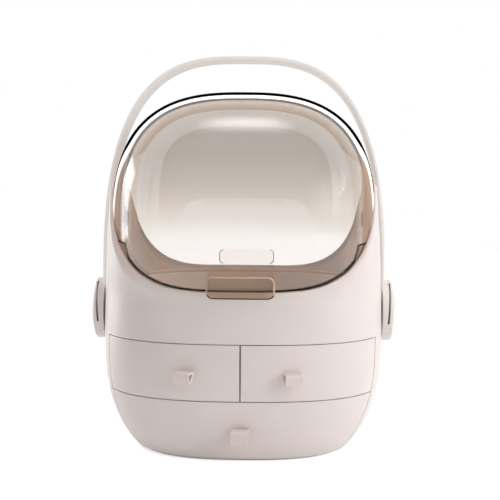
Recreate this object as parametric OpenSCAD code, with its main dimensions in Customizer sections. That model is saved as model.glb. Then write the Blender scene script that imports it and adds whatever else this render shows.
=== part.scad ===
// Egg-shaped makeup organizer: a base with three drawers, a dustproof dome made of two
// nested visors, and a carrying handle that swings over them.
// X is the width, -Y the front and Z up. The origin is the middle of the footprint.

/* [Body] */
// How far the base plate stands below the moulded shell
plinth_h = 1.5; // [1:0.5:3]
// Width of the body at the table
base_w = 209.6; // [190:0.2:220]
// Greatest width of the body
body_w = 273.8; // [268:0.2:274]
// Greatest depth of the body
body_d = 217.8; // [212:0.2:222]
// Height at which the body is widest
widest_z = 108; // [100:1:112]
// Height of the seam between the lower casing and the upper shell
seam_z = 126; // [124:0.5:128]
// Thickness of the moulded walls
wall = 2.5; // [2:0.1:3]
// Roundness of the plan outline, where 2 is an ellipse
plan_n = 2.54; // [2.4:0.02:2.7]
// Thickness of the deck, the shelf and the base plate
plate_t = 2.5; // [2:0.1:3]
// Height of the deck that closes the drawer bay
deck_z = 112.5; // [112:0.1:114]

/* [Rim and cheeks] */
// Height of the rim at its lowest, in front
rim_z = 158; // [154:0.5:160]
// How much higher the rim is at the rear
rear_rim_rise = 4.4; // [2:0.2:6]
// Height of the cheeks beside the lid pivots
cheek_z = 256; // [246:0.5:258]
// How far each cheek draws in at its top
cheek_draw = 8.1; // [7:0.1:10]
// How the rim climbs to the cheeks, where more makes the cheeks wider
cheek_climb = 1.62; // [1.5:0.02:1.8]

/* [Dome] */
// Height of the pivots that both lids turn on
pivot_z = 219.5; // [218:0.5:221]
// How far each side of the front lid lies inside the body's greatest width
dome_side = 8.9; // [8.7:0.1:11]
// How much longer the front lid's radius is than half the body's depth
dome_front = 15.5; // [14:0.1:16]
// Roundness of the lids' outline, where 2 is an ellipse
dome_n = 2.7; // [2.6:0.01:2.9]
// Thickness of the lids
lid_t = 2; // [1.6:0.1:2.4]
// Free space between the two lids
lid_gap = 3; // [2.8:0.1:3.4]
// How far each lid reaches past the top, in degrees
lid_overlap = 8; // [5:0.5:10]
// Gap between the front lid's edge and the rim
front_edge_gap = 1; // [0.8:0.1:2]
// Height of the rear lid's straight lower edge, which hangs inside the rim
rear_edge_z = 158.6; // [158.2:0.2:161]
// Distance from the pivot axis to the corner of the front lid's arm, as a part of the radius
arm_corner = 0.68; // [0.67:0.002:0.69]
// Height of that corner below the pivot axis
arm_drop = 20.5; // [18:0.5:23]
// Distance from the pivot axis to the lower corner of the rear lid's arm
rear_corner_y = 52; // [45:1:60]
// Gap between the front lid and the cheeks
cheek_gap = 0.6; // [0.4:0.1:0.8]
// Radius of the lid pins
pin_r = 4; // [3:0.1:4.5]
// Radius of the round boss on each lid arm
boss_r = 12; // [10:0.5:14]

/* [Lid tabs] */
// Width of the tabs
tab_w = 61.4; // [50:0.2:70]
// Height of the front tab
front_tab_h = 21.5; // [19:0.5:24]
// How far the front tab hangs below the rim
front_tab_drop = 5.6; // [4:0.2:7]
// How far the front tab stands out of the lid
front_tab_t = 8; // [7.5:0.5:10]
// Height of the rear tab
rear_tab_h = 15.5; // [13:0.5:18]
// How far the rear tab stands above the rear rim
rear_tab_rise = 1.6; // [1:0.2:4]
// How far the rear tab stands out of its lid, which has to pass under the front lid
rear_tab_t = 2.4; // [1.6:0.1:2.5]

/* [Handle] */
// How far each of the handle's legs stands outside the body's greatest width
leg_out = 1.7; // [1.5:0.1:2.6]
// How far the handle's top stands above the lids
handle_rise = 33.5; // [30:0.1:46]
// Width of the strap, front to rear
strap_w = 36; // [30:0.5:38]
// Thickness of the strap's legs
leg_t = 2.7; // [2.2:0.1:2.8]
// Thickness of the strap at its top
grip_t = 3.8; // [3:0.1:5]
// Height of the axis that the handle turns on
hub_z = 129; // [128:0.2:131]
// Radius of the hub caps
hub_r = 30.5; // [29:0.1:32]
// How far each hub cap stands outside the handle's legs
hub_out = 13; // [10:0.1:15]
// Radius of the handle's axles
axle_r = 4; // [3:0.1:4.5]

/* [Drawers] */
// Gap round each drawer front
drawer_gap = 0.7; // [0.6:0.1:1.2]
// Gap between the two upper drawer fronts
middle_gap = 1.5; // [1:0.1:3]
// Distance behind the front at which the drawer fronts end, from the middle of the body
front_cut_y = 56; // [52:0.5:60]
// Height of the seam above the upper drawers
upper_top_z = 111; // [109:0.1:112]
// Height of the seam between the upper drawers and the lower one
shelf_seam_z = 58.8; // [56:0.1:61]
// Thickness of a drawer front
front_t = 2.4; // [2:0.1:3]
// Wall of the drawer boxes
box_t = 1.8; // [1.4:0.1:2.2]
// Free space on each side of the drawer boxes as they pass the opening
box_margin = 1.2; // [0.8:0.1:6]
// Free space behind the drawer boxes
box_rear = 34.9; // [32:0.1:48]
// Free height above each drawer box
box_head = 7.8; // [6:0.1:14]
// Width of the pull loops
pull_w = 15.4; // [12:0.2:18]
// How far the pull loops stand out
pull_d = 12.6; // [11:0.2:15]
// Thickness of the pull's strip
pull_t = 1.5; // [1.2:0.1:1.8]

/* [Tray] */
// Distance from the inner tray's sides to the body's greatest width
tray_side = 28.9; // [27:0.1:36]
// Distance from the inner tray's front and rear to the body's
tray_front = 18.4; // [17:0.1:28]
// Height of the tray's walls
tray_h = 42; // [30:0.5:42.5]

/* [Hidden] */

around = 64;            // points round a section of the body
run = 0.05;             // radial clearance of a pin in its bore
slide = 0.3;            // clearance under and beside a drawer box
far = 400;              // longer than the object, for cuts
seat = 0.15;            // clearance of a plate that is seated in the casing
dome_w = body_w - 2 * dome_side;
dome_r = body_d / 2 + dome_front;
handle_w = body_w + 2 * leg_out;
shell_color = [0.86, 0.83, 0.8];
trim_color = [0.82, 0.78, 0.75];
lid_color = [0.62, 0.48, 0.4, 0.45];

// ---- the outlines that the pieces share ----

function signed_pow(v, p) = sign(v) * pow(abs(v), p);
function oval(a, b, n, count) = [for (i = [0 : count - 1]) let (t = 360 * i / count)
    [a * signed_pow(cos(t), 2 / n), b * signed_pow(sin(t), 2 / n)]];

// The egg: half its width and depth at a height
egg_lift = 2.75;
egg_round = 0.85;
egg_depth = 0.68;
function rise(z) = max(0, (z - plinth_h) / (widest_z - plinth_h));
function half_w(z) = z < widest_z
    ? base_w / 2 + (body_w - base_w) / 2 * pow(1 - pow(1 - rise(z), egg_lift), egg_round)
    : body_w / 2 - cheek_draw * pow((z - widest_z) / (cheek_z - widest_z), 1.5);
rim_proud = 1.8;        // how far the body stands outside the front lid
function round_d(z) = sqrt(pow(dome_r + rim_proud, 2) - pow(pivot_z - z, 2));
blend = 60;             // how tightly the straight front meets the dome's curve
function half_d(z) = z < widest_z
    ? body_d / 2 * pow(2 * half_w(z) / body_w, egg_depth)
    : body_d / 2 * pow(1 + pow(2 * round_d(z) / body_d, blend), 1 / blend);
square_z = 150;         // above here the plan gets squarer, to reach round the dome
square_more = 0.2;
function plan_exp(z) = plan_n + square_more * min(1, max(0, (z - square_z) / 50));
function section(z, inset) =
    oval(half_w(z) - inset, half_d(z) - inset, plan_exp(z), around);
// How far the outline reaches sideways at a distance in front of the middle
function side_at(y, z, inset) = (half_w(z) - inset)
    * pow(1 - pow(y / (half_d(z) - inset), plan_exp(z)), 1 / plan_exp(z));

// A solid through sections of the egg. Each level is a height and an inset.
module egg(levels) {
    count = len(levels);
    points = [for (l = levels) for (p = section(l[0], l[1])) [p[0], p[1], l[0]]];
    sides = [for (k = [0 : count - 2]) for (i = [0 : around - 1])
        let (a = k * around + i, b = k * around + (i + 1) % around)
        each [[a, b + around, b], [a, a + around, b + around]]];
    bottom = [for (i = [0 : around - 1]) i];
    top = [for (i = [0 : around - 1]) count * around - 1 - i];
    polyhedron(points = points, faces = concat(sides, [bottom], [top]), convexity = 6);
}
low_steps = [0, 0.014, 0.033, 0.06, 0.1, 0.155, 0.23, 0.32, 0.43, 0.56, 0.7, 0.85, 1];
function low_levels(inset, under) = concat(
    [for (s = low_steps) [plinth_h - (s == 0 ? under : 0) + s * (widest_z - plinth_h), inset]],
    [[seam_z, inset]]);
high_count = 13;
function high_levels(inset, over) = [for (i = [0 : high_count])
    [seam_z + (cheek_z + over - seam_z) * i / high_count, inset]];

// The rim and the cheeks seen from the side
rim_y = body_d / 2 + 1.1;
function rim_at(y, gap) = let (t = pow(min(1, abs(y) / rim_y), cheek_climb),
    low = rim_z + (y > 0 ? rear_rim_rise : 0))
    low + gap + (cheek_z - low) * (1 + cos(180 * t)) / 2;
rim_reach = 1.05 * dome_r;    // how far the cut along the rim runs, front and rear
rim_steps = 36;

// Turns a side view, drawn as [y, z], into a solid across the whole width
module across(width) {
    rotate([90, 0, 90]) linear_extrude(width, center = true) children();
}
// Places a round piece on the X axis at a height, growing away from the middle
module on_side(side, x, z) {
    translate([side * x, 0, z]) rotate([0, side * 90, 0]) children();
}
// A bore through both sides at a height
module side_bore(r, z) {
    translate([0, 0, z]) rotate([0, 90, 0])
        cylinder(r = r + run, h = far, center = true, $fn = 48);
}

// The dome: a curved outline turned about the pivot axis
dome_steps = 22;
function dome_half(w, r) = [for (i = [0 : dome_steps]) let (t = 90 * i / dome_steps)
    [r * pow(sin(t), 2 / dome_n), w * pow(cos(t), 2 / dome_n)]];
function dome_outline(w, r) = let (h = dome_half(w, r))
    concat(h, [for (i = [dome_steps - 1 : -1 : 0]) [h[i][0], -h[i][1]]]);
module dome(shrink) {
    translate([0, 0, pivot_z]) rotate([0, 90, 0]) rotate_extrude($fn = 128)
        polygon(dome_outline(dome_w / 2 - shrink, dome_r - shrink));
}

// Rounds the corners of an outline
function unit(v) = v / norm(v);
function corner(p, q, s, r, n) = let (
    u = unit(p - q), v = unit(s - q), half = acos(u * v) / 2,
    c = q + unit(u + v) * r / sin(half), from = q + u * r / tan(half) - c,
    to = q + v * r / tan(half) - c, a0 = atan2(from[1], from[0]),
    turn = ((atan2(to[1], to[0]) - a0 + 540) % 360) - 180)
    [for (i = [0 : n]) c + r * [cos(a0 + turn * i / n), sin(a0 + turn * i / n)]];
function rounded(points, r, n) = [for (i = [0 : len(points) - 1])
    each corner(points[(i + len(points) - 1) % len(points)], points[i],
        points[(i + 1) % len(points)], r, n)];

// ---- the base ----

hub_recess_x = handle_w / 2 - leg_t - 0.5;
hub_recess_r = hub_r + 0.8;
axle_boss_r = axle_r + 4;
axle_boss_h = 12;       // how far the axle's boss reaches in from the wall
lip_h = 7;
lip_t = 1.55;
lip_gap = 0.25;
screw_r = 1.6;
screw_len = 14;
screw_head_r = 3;
screw_head_t = 2;
screw_boss_r = 4.5;
screw_boss_h = 17;
screw_y = 0.2066 * body_d;
// the bosses grow out of the lip, clear of the casing's wall
screw_x = side_at(screw_y, seam_z, wall) - screw_boss_r - 1.3;
lug_t = 2;              // the casing's lugs under the deck
lug_r = 5;
module hub_recess() {
    for (side = [-1, 1]) on_side(side, hub_recess_x, hub_z)
        cylinder(r = hub_recess_r, h = wall + 10, $fn = 96);
}
module screw_places() {
    for ($screw_x = [-screw_x, screw_x], y = [-screw_y, screw_y])
        translate([$screw_x, y, 0]) children();
}

module lower_casing() {
    color(shell_color) difference() {
        union() {
            difference() {
                egg(low_levels(0, 0));
                egg([for (l = low_levels(wall, 1)) [l[0] + (l[0] == seam_z ? 1 : 0), l[1]]]);
            }
            // the lugs that the deck is screwed down on
            translate([0, 0, deck_z - lug_t]) linear_extrude(lug_t) intersection() {
                polygon(section(deck_z, wall - 1));
                screw_places() {
                    circle(r = lug_r, $fn = 32);
                    translate([sign($screw_x) * lug_r, 0]) square(2 * lug_r, center = true);
                }
            }
        }
        // the drawers' opening
        translate([-far / 2, -far, -1]) cube([far, far - front_cut_y + drawer_gap / 2,
            upper_top_z + drawer_gap / 2 + 1]);
        hub_recess();
        for (side = [-1, 1]) on_side(side, hub_recess_x - wall - axle_boss_h, hub_z)
            cylinder(r = axle_boss_r + slide, h = 2 * axle_boss_h, $fn = 48);
        screw_holes(deck_z - lug_t - 1);
    }
}

module screw_holes(z) {
    screw_places() translate([0, 0, z]) cylinder(r = screw_r + run, h = deck_z + screw_len + 1 - z,
        $fn = 24);
}

module base_plate() {
    color(shell_color) linear_extrude(plinth_h + plate_t)
        polygon(section(plinth_h, wall + seat));
}

shelf_z = shelf_seam_z - plate_t / 2 - 0.2;
module drawer_shelf() {
    color(shell_color) translate([0, 0, shelf_z]) linear_extrude(plate_t)
        polygon(section(shelf_z, wall + seat));
}
module drawer_divider() {
    deep = 2 * (half_d(shelf_z) - wall - seat);
    color(shell_color) translate([-plate_t / 2, -deep / 2, shelf_z + plate_t])
        cube([plate_t, deep, deck_z - shelf_z - plate_t]);
}
module deck_plate() {
    color(shell_color) difference() {
        translate([0, 0, deck_z]) linear_extrude(plate_t) polygon(section(deck_z, wall + seat));
        screw_holes(deck_z - 1);
    }
}

module shell_screws() {
    head_z = deck_z - lug_t - screw_head_t;
    color([0.6, 0.6, 0.6]) screw_places() {
        translate([0, 0, head_z]) cylinder(r = screw_head_r, h = screw_head_t, $fn = 32);
        translate([0, 0, head_z + screw_head_t])
            cylinder(r = screw_r, h = deck_z + screw_len - head_z - screw_head_t, $fn = 24);
    }
}

module upper_shell() {
    color(shell_color) difference() {
        union() {
            difference() {
                egg(high_levels(0, 0));
                egg([for (l = high_levels(wall, 0))
                    [l[0] + (l[0] <= seam_z ? -1 : l[0] >= cheek_z ? 1 : 0), l[1]]]);
            }
            // the lip that drops inside the lower casing
            difference() {
                egg([[seam_z - lip_h, wall + lip_gap], [seam_z, wall + lip_gap],
                    [seam_z, wall - 0.5], [seam_z + 4, wall - 0.5]]);
                egg([[seam_z - lip_h - 1, wall + lip_gap + lip_t],
                    [seam_z + 5, wall + lip_gap + lip_t]]);
            }
            for (side = [-1, 1]) on_side(side, body_w / 2 - wall - axle_boss_h, hub_z)
                cylinder(r = axle_boss_r, h = axle_boss_h + wall - 1.2, $fn = 48);
            screw_places() translate([0, 0, deck_z + plate_t])
                cylinder(r = screw_boss_r, h = screw_boss_h, $fn = 32);
        }
        // everything above the rim
        across(far) polygon(concat([for (i = [-rim_steps : rim_steps])
            let (y = rim_reach * i / rim_steps) [y, rim_at(y, 0)]],
            [[rim_reach, far], [-rim_reach, far]]));
        dome(-cheek_gap);
        hub_recess();
        side_bore(axle_r, hub_z);
        side_bore(pin_r, pivot_z);
        screw_holes(deck_z);
    }
}

tray_t = 2;
module upper_tray() {
    half_x = body_w / 2 - tray_side;
    half_y = body_d / 2 - tray_front;
    color(shell_color) translate([0, 0, deck_z + plate_t]) difference() {
        linear_extrude(tray_h) polygon(oval(half_x, half_y, plan_n, around));
        translate([0, 0, tray_t]) linear_extrude(tray_h)
            polygon(oval(half_x - tray_t, half_y - tray_t, plan_n, around));
    }
}

// ---- the lids ----

// The lids' side views. The front lid's edge follows the rim, then turns in to the pivot;
// the rear lid's runs straight inside the shell.
arm_corner_y = arm_corner * dome_r;
lid_reach = 1.4 * dome_r;
function lid_top(past) = [[0, 0], lid_reach * [sin(past), cos(past)], [-lid_reach, lid_reach]];
function front_lid_side() = let (from = 1.22 * dome_r)
    concat([for (i = [0 : 12]) let (y = from - (from - arm_corner_y) * i / 12)
        [-y, rim_at(-y, front_edge_gap) - pivot_z]],
    [[-arm_corner_y, -arm_drop], [0, -boss_r]], lid_top(lid_overlap),
    [[-lid_reach, -arm_drop]]);
function rear_lid_side() = concat([[-lid_reach, rear_edge_z - pivot_z],
    [-rear_corner_y, rear_edge_z - pivot_z], [0, -boss_r]], lid_top(lid_overlap));
lid_inner_x = dome_w / 2 - 2 * lid_t - lid_gap;
module lid(shrink, side_view, boss_from, boss_to) {
    difference() {
        union() {
            intersection() {
                difference() {
                    dome(shrink);
                    dome(shrink + lid_t);
                }
                translate([0, 0, pivot_z]) across(far) union() {
                    polygon(side_view);
                    circle(r = boss_r, $fn = 64);
                }
            }
            for (side = [-1, 1]) on_side(side, boss_from, pivot_z)
                cylinder(r = boss_r, h = boss_to - boss_from, $fn = 64);
        }
        side_bore(pin_r, pivot_z);
    }
}
boss_gap = 0.6;
boss_proud = 1.3;       // how far the rear lid's bosses stand inside it
middle_x = dome_w / 2 - lid_t - lid_gap / 2;
module front_lid() {
    color(lid_color) lid(0, front_lid_side(), middle_x + boss_gap / 2,
        dome_w / 2 - lid_t / 2);
}
module rear_lid() {
    color(lid_color) mirror([0, 1, 0]) lid(lid_t + lid_gap, rear_lid_side(),
        lid_inner_x - boss_proud, middle_x - boss_gap / 2);
}
// A grip tab: a rounded block whose back follows its lid
tab_block = 30;
tab_root = 8;           // how far inside its lid the block starts
tab_corner = 0.3;       // radius of its corners, as a part of its height
module tab(w, h, z, shrink, stand) {
    lid_y = sqrt(pow(dome_r - shrink, 2) - pow(pivot_z - z - h / 2, 2));
    difference() {
        intersection() {
            translate([0, -lid_y + tab_root, z + h / 2]) rotate([90, 0, 0])
                linear_extrude(tab_block) polygon(rounded([[-w / 2, -h / 2], [w / 2, -h / 2],
                    [w / 2, h / 2], [-w / 2, h / 2]], h * tab_corner, 6));
            // its face is turned about the pivot axis too
            dome(shrink - stand);
        }
        dome(shrink - run);
    }
}
// Below the lid's edge the front tab hangs clear of the body
front_tab_z = rim_z - front_tab_drop;
rear_tab_z = rim_z + rear_rim_rise + rear_tab_rise;
module front_lid_tab() {
    body_r = norm([half_d(front_tab_z), pivot_z - front_tab_z]) + cheek_gap;
    color(lid_color) difference() {
        tab(tab_w, front_tab_h, front_tab_z, 0, front_tab_t);
        intersection() {
            translate([0, 0, pivot_z]) rotate([0, 90, 0])
                cylinder(r = body_r, h = 2 * tab_w, center = true, $fn = 128);
            translate([-far / 2, -far, rim_z + front_edge_gap - far])
                cube([far, 2 * far, far]);
        }
    }
}
module rear_lid_tab() {
    color(lid_color) mirror([0, 1, 0])
        tab(tab_w, rear_tab_h, rear_tab_z, lid_t + lid_gap, rear_tab_t);
}
pin_head_r = 7;
pin_head_t = 1.8;
module lid_pin(side) {
    head_x = lid_inner_x - boss_proud - slide - pin_head_t;
    end_x = half_w(pivot_z) - 0.4;
    color([0.45, 0.36, 0.3]) union() {
        on_side(side, head_x, pivot_z) cylinder(r = pin_head_r, h = pin_head_t, $fn = 48);
        on_side(side, head_x + pin_head_t, pivot_z)
            cylinder(r = pin_r, h = end_x - head_x - pin_head_t, $fn = 48);
    }
}

// ---- the handle ----

arch_z = 150;
arch_nx = 3;
arch_nz = 2.7;
arch_steps = 36;
function arch(w, h) = [for (i = [0 : 2 * arch_steps]) let (t = 90 * i / arch_steps)
    [w * signed_pow(cos(t), 2 / arch_nx), arch_z + h * pow(sin(t), 2 / arch_nz)]];
end_plate_r = hub_r - 2.3;
module handle() {
    outer_w = handle_w / 2;
    outer_h = pivot_z + dome_r + handle_rise - arch_z;
    color(trim_color) difference() {
        union() {
            rotate([90, 0, 0]) linear_extrude(strap_w, center = true) polygon(concat(
                [[outer_w, hub_z]], arch(outer_w, outer_h), [[-outer_w, hub_z],
                [-outer_w + leg_t, hub_z]],
                arch(leg_t - outer_w, outer_h - grip_t),
                [[outer_w - leg_t, hub_z]]));
            for (side = [-1, 1]) on_side(side, outer_w - leg_t, hub_z)
                cylinder(r = end_plate_r, h = leg_t, $fn = 96);
        }
        side_bore(axle_r, hub_z);
    }
}
hub_x = handle_w / 2 + hub_out;
cap_t = 2;
cap_bulge = 5;
cap_skirt_x = hub_recess_x + 1;
cap_slot_low = 10;
cap_slot_high = 28;
cap_slot_w = 1.8;
cap_slot_out = 3.4;
cap_slot_turn = 3;
function cap_face(r, x, n) = [for (i = [0 : n]) [r * i / n, x - cap_bulge * pow(i / n, 2)]];
module hub_cap(side) {
    slot_x = handle_w / 2 + cap_slot_out;
    color(trim_color) difference() {
        translate([0, 0, hub_z]) rotate([0, side * 90, 0]) rotate_extrude($fn = 128)
            polygon(concat([[0, hub_x - cap_t]], cap_face(hub_r - 1, hub_x, 12),
                [[hub_r, hub_x - cap_bulge - 1], [hub_r, cap_skirt_x],
                [hub_r - cap_t, cap_skirt_x],
                [hub_r - cap_t, hub_x - cap_bulge - cap_t]]));
        // the way in for the strap
        translate([side * (handle_w / 2 + run), 0, hub_z]) mirror([side > 0 ? 1 : 0, 0, 0])
            translate([0, -strap_w / 2 - slide, 0]) cube([hub_r, strap_w + 2 * slide, 2 * hub_r]);
        // the slots in the skirt
        translate([side * (slot_x + cap_slot_w / 2), 0, hub_z + (cap_slot_high - cap_slot_low) / 2])
            rotate([0, side * cap_slot_turn, 0])
                cube([cap_slot_w, far, cap_slot_high + cap_slot_low], center = true);
    }
}
axle_head_r = 8;
axle_head_t = 2.5;
module handle_axle(side) {
    root_x = body_w / 2 - wall - axle_boss_h;
    head_x = handle_w / 2 + slide;
    color([0.7, 0.7, 0.7]) union() {
        on_side(side, root_x, hub_z) cylinder(r = axle_r, h = head_x - root_x, $fn = 48);
        on_side(side, head_x, hub_z) cylinder(r = axle_head_r, h = axle_head_t, $fn = 48);
    }
}

// ---- the drawers ----

upper_front_z = [shelf_seam_z + drawer_gap / 2, upper_top_z - drawer_gap / 2];
lower_front_z = [plinth_h + 0.7, shelf_seam_z - drawer_gap / 2];
upper_box_z = shelf_z + plate_t + slide;
lower_box_z = plinth_h + plate_t + slide;
upper_box_h = upper_top_z - upper_box_z - box_head;
lower_box_h = shelf_seam_z - lower_box_z - box_head;
upper_box_x = side_at(front_cut_y, upper_box_z, wall) - box_margin;
lower_box_x = side_at(front_cut_y, lower_box_z, wall) - box_margin;
box_rear_y = body_d / 2 - box_rear;
box_middle_x = plate_t / 2 + 1;     // the upper boxes' sides beside the divider
// Each pull: x, height of its peg, how far its tip hangs below, and how far it is turned
pull_left_at = [-0.176 * body_w, shelf_seam_z + 24.4, 7.6, 22];
pull_right_at = [0.17 * body_w, shelf_seam_z + 23.5, 7.6, -10];
pull_lower_at = [0.7, shelf_seam_z - 29, 11.5, 6];
peg_r = 2.2;
peg_boss_r = peg_r + 3;
clip_t = 1.5;

function front_y(x, z) = -half_d(z) * pow(1 - pow(abs(x) / half_w(z), plan_exp(z)),
    1 / plan_exp(z));
// How much the front turns away from the X axis at a place
function front_turn(x, z) = atan((front_y(x + 1, z) - front_y(x - 1, z)) / 2);
// Where the inner face of a drawer box's front wall is
function box_in_y(x, box_z) = front_y(x, box_z) + front_t + slide + box_t;
// Where the clip sits, clear of that slanting wall
function clip_y(at, box_z) = box_in_y(at[0], box_z)
    + (peg_r + 2.6) * abs(tan(front_turn(at[0], box_z))) + 0.3;
// The part of the egg's skin between two heights and two sides
module drawer_front(x0, x1, z, pull) {
    color(shell_color) difference() {
        intersection() {
            difference() {
                egg(low_levels(0, 0));
                egg([for (l = low_levels(front_t, 1))
                    [l[0] + (l[0] == seam_z ? 1 : 0), l[1]]]);
            }
            translate([x0, -far, z[0]])
                cube([x1 - x0, far - front_cut_y - drawer_gap / 2, z[1] - z[0]]);
        }
        peg_bore(pull);
    }
}
module peg_bore(pull) {
    translate([pull[0], -front_cut_y, pull[1]]) rotate([90, 0, 0])
        cylinder(r = peg_r + run, h = body_d / 2, $fn = 32);
}
module drawer_box(x0, x1, z, h, pull) {
    color(shell_color) difference() {
        union() {
            translate([0, 0, z]) linear_extrude(h) box_plan(x0, x1, z, 0);
            // the boss that the front is seated on
            boss_y = front_y(pull[0], pull[1] - peg_boss_r) + front_t + 2 * slide
                + peg_boss_r * abs(tan(front_turn(pull[0], z)));
            translate([pull[0], boss_y, pull[1]]) rotate([-90, 0, 0])
                cylinder(r = peg_boss_r, h = box_in_y(pull[0], z) - box_t / 2 - boss_y, $fn = 48);
        }
        translate([0, 0, z + box_t]) linear_extrude(h) box_plan(x0, x1, z, box_t);
        peg_bore(pull);
    }
}
module box_plan(x0, x1, z, inset) {
    intersection() {
        polygon(section(z, front_t + slide + inset));
        translate([x0 + inset, -far + box_rear_y - inset]) square([x1 - x0 - 2 * inset, far]);
    }
}
// A folded strip: out along its top, down the face to a point, and back up
pull_top = 3.6;         // the strip's top above its peg
pull_root = 2.6;        // height of the strip where it leaves the drawer
pull_back = 2.4;        // length of that straight part
pull_tip = 0.68;        // how far out the lower point is, as a part of the depth
module pull(at, box_z) {
    x = at[0];
    z = at[1];
    drop = at[2];
    // the turned strip stands this much clear of the drawer's face
    lift = pull_w / 2 * abs(sin(at[3] + front_turn(x, z))) + 0.1;
    y = front_y(x, z + pull_top) - lift;
    tip = pull_d * pull_tip;
    low = pull_top - pull_root;
    color(trim_color) union() {
        translate([x, y, z]) rotate([0, 0, -at[3]]) across(pull_w) difference() {
            polygon(concat([[0, low], [0, pull_top]], rounded([[-pull_back, pull_top],
                [-pull_d, pull_top], [-tip, -drop], [-pull_back, low]], 0.7, 4)));
            polygon(rounded([[-pull_back - pull_t, pull_top - pull_t],
                [-pull_d + 1.15 * pull_t, pull_top - pull_t],
                [-tip - 0.2 * pull_t, -drop + 3 * pull_t]], 0.5, 4));
        }
        translate([x, y - 1.5, z]) rotate([-90, 0, 0])
            cylinder(r = peg_r, h = clip_y(at, box_z) + clip_t + 1 - y + 1.5, $fn = 32);
    }
}
module pull_clip(at, box_z) {
    color([0.7, 0.68, 0.66]) translate([at[0], clip_y(at, box_z), at[1]])
        rotate([-90, 0, 0]) difference() {
            cylinder(r = peg_r + 2.6, h = clip_t, $fn = 32);
            translate([0, 0, -1]) cylinder(r = peg_r + run, h = clip_t + 2, $fn = 32);
        }
}

module drawer_box_left() {
    drawer_box(-upper_box_x, -box_middle_x, upper_box_z, upper_box_h, pull_left_at);
}
module drawer_front_left() {
    drawer_front(-far / 2, -middle_gap / 2, upper_front_z, pull_left_at);
}
module drawer_box_right() {
    drawer_box(box_middle_x, upper_box_x, upper_box_z, upper_box_h, pull_right_at);
}
module drawer_front_right() {
    drawer_front(middle_gap / 2, far / 2, upper_front_z, pull_right_at);
}
module drawer_box_lower() {
    drawer_box(-lower_box_x, lower_box_x, lower_box_z, lower_box_h, pull_lower_at);
}
module drawer_front_lower() {
    drawer_front(-far / 2, far / 2, lower_front_z, pull_lower_at);
}

lower_casing();
base_plate();
drawer_shelf();
drawer_divider();
deck_plate();
shell_screws();
upper_shell();
upper_tray();
lid_pin(-1);  // lid_pin_left
lid_pin(1);  // lid_pin_right
handle_axle(-1);  // handle_axle_left
handle_axle(1);  // handle_axle_right
front_lid();
front_lid_tab();
rear_lid();
rear_lid_tab();
handle();
hub_cap(-1);  // hub_cap_left
hub_cap(1);  // hub_cap_right
drawer_box_left();
drawer_front_left();
pull(pull_left_at, upper_box_z);  // pull_left
pull_clip(pull_left_at, upper_box_z);  // pull_clip_left
drawer_box_right();
drawer_front_right();
pull(pull_right_at, upper_box_z);  // pull_right
pull_clip(pull_right_at, upper_box_z);  // pull_clip_right
drawer_box_lower();
drawer_front_lower();
pull(pull_lower_at, lower_box_z);  // pull_lower
pull_clip(pull_lower_at, lower_box_z);  // pull_clip_lower
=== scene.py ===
# %% [markdown]
# # An egg-shaped makeup organizer
# The real thing is an injection-moulded box: a pale satin base with drawers, a tray on
# top, and a dome made of two nested visors in tea-coloured clear plastic, under a wide
# carrying strap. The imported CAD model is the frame. It has every piece at its real place,
# but its moulded skins are made of flat facets, so this lesson builds smooth skins over
# the same formulas and gives every piece its finish.

from math import acos, asin, atan2, cos, degrees, pi, radians, sin, sqrt

import bmesh
import bpy
import numpy as np
from mathutils import Matrix, Vector


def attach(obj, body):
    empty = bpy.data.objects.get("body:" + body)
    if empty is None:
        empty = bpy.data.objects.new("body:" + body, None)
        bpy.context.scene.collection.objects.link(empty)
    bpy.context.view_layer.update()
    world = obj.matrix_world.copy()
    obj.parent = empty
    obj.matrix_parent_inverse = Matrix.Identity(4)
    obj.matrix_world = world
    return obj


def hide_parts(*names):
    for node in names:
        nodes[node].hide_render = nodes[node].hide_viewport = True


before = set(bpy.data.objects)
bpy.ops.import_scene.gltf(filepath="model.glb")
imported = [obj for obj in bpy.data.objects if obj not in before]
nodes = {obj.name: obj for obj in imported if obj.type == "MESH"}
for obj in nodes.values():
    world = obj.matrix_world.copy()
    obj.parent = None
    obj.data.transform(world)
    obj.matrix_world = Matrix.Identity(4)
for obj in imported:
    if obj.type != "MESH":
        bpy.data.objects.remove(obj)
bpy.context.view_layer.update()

# %% [markdown]
# ## The camera
# The photo is taken from a little above, straight on, from about a metre away. The place
# and the lens come from fitting the dome, the waist and the hubs in perspective. The
# object leans by less than half a degree in the frame, which is the camera's roll.

# %% The camera
MM = 0.001
camera_place = Vector((25.81, -956.94, 261.94))
camera_aim = Vector((5.96, 0.0, 188.06))
ahead = (camera_aim - camera_place).normalized()
level_right = ahead.cross(Vector((0, 0, 1))).normalized()
level_up = level_right.cross(ahead)
roll = 0.007
right = level_right * cos(roll) + level_up * sin(roll)
up = level_up * cos(roll) - level_right * sin(roll)
camera_data = bpy.data.cameras.new("camera")
camera_data.lens = 69.12
camera_data.sensor_width = 36.0
camera = bpy.data.objects.new("camera", camera_data)
bpy.context.scene.collection.objects.link(camera)
turn = Matrix((right, up, -ahead)).transposed().to_4x4()
camera.matrix_world = Matrix.Translation(camera_place * MM) @ turn
bpy.context.scene.camera = camera
bpy.context.scene.view_settings.view_transform = "Standard"
print("camera is", round(camera_place.length), "mm from the base's middle")

# %% [markdown]
# ## Nodes and colours
# A material is a small graph. One function adds a node with its settings and links, and
# one turns the colour that a colour picker gives into the linear value Blender works in.

# %% Helpers for materials
def linear(hex_code):
    """An sRGB hex colour as linear red, green, blue and alpha."""
    parts = [int(hex_code[i : i + 2], 16) / 255 for i in (1, 3, 5)]
    curve = [c / 12.92 if c <= 0.04045 else ((c + 0.055) / 1.055) ** 2.4 for c in parts]
    return (*curve, 1.0)


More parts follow.
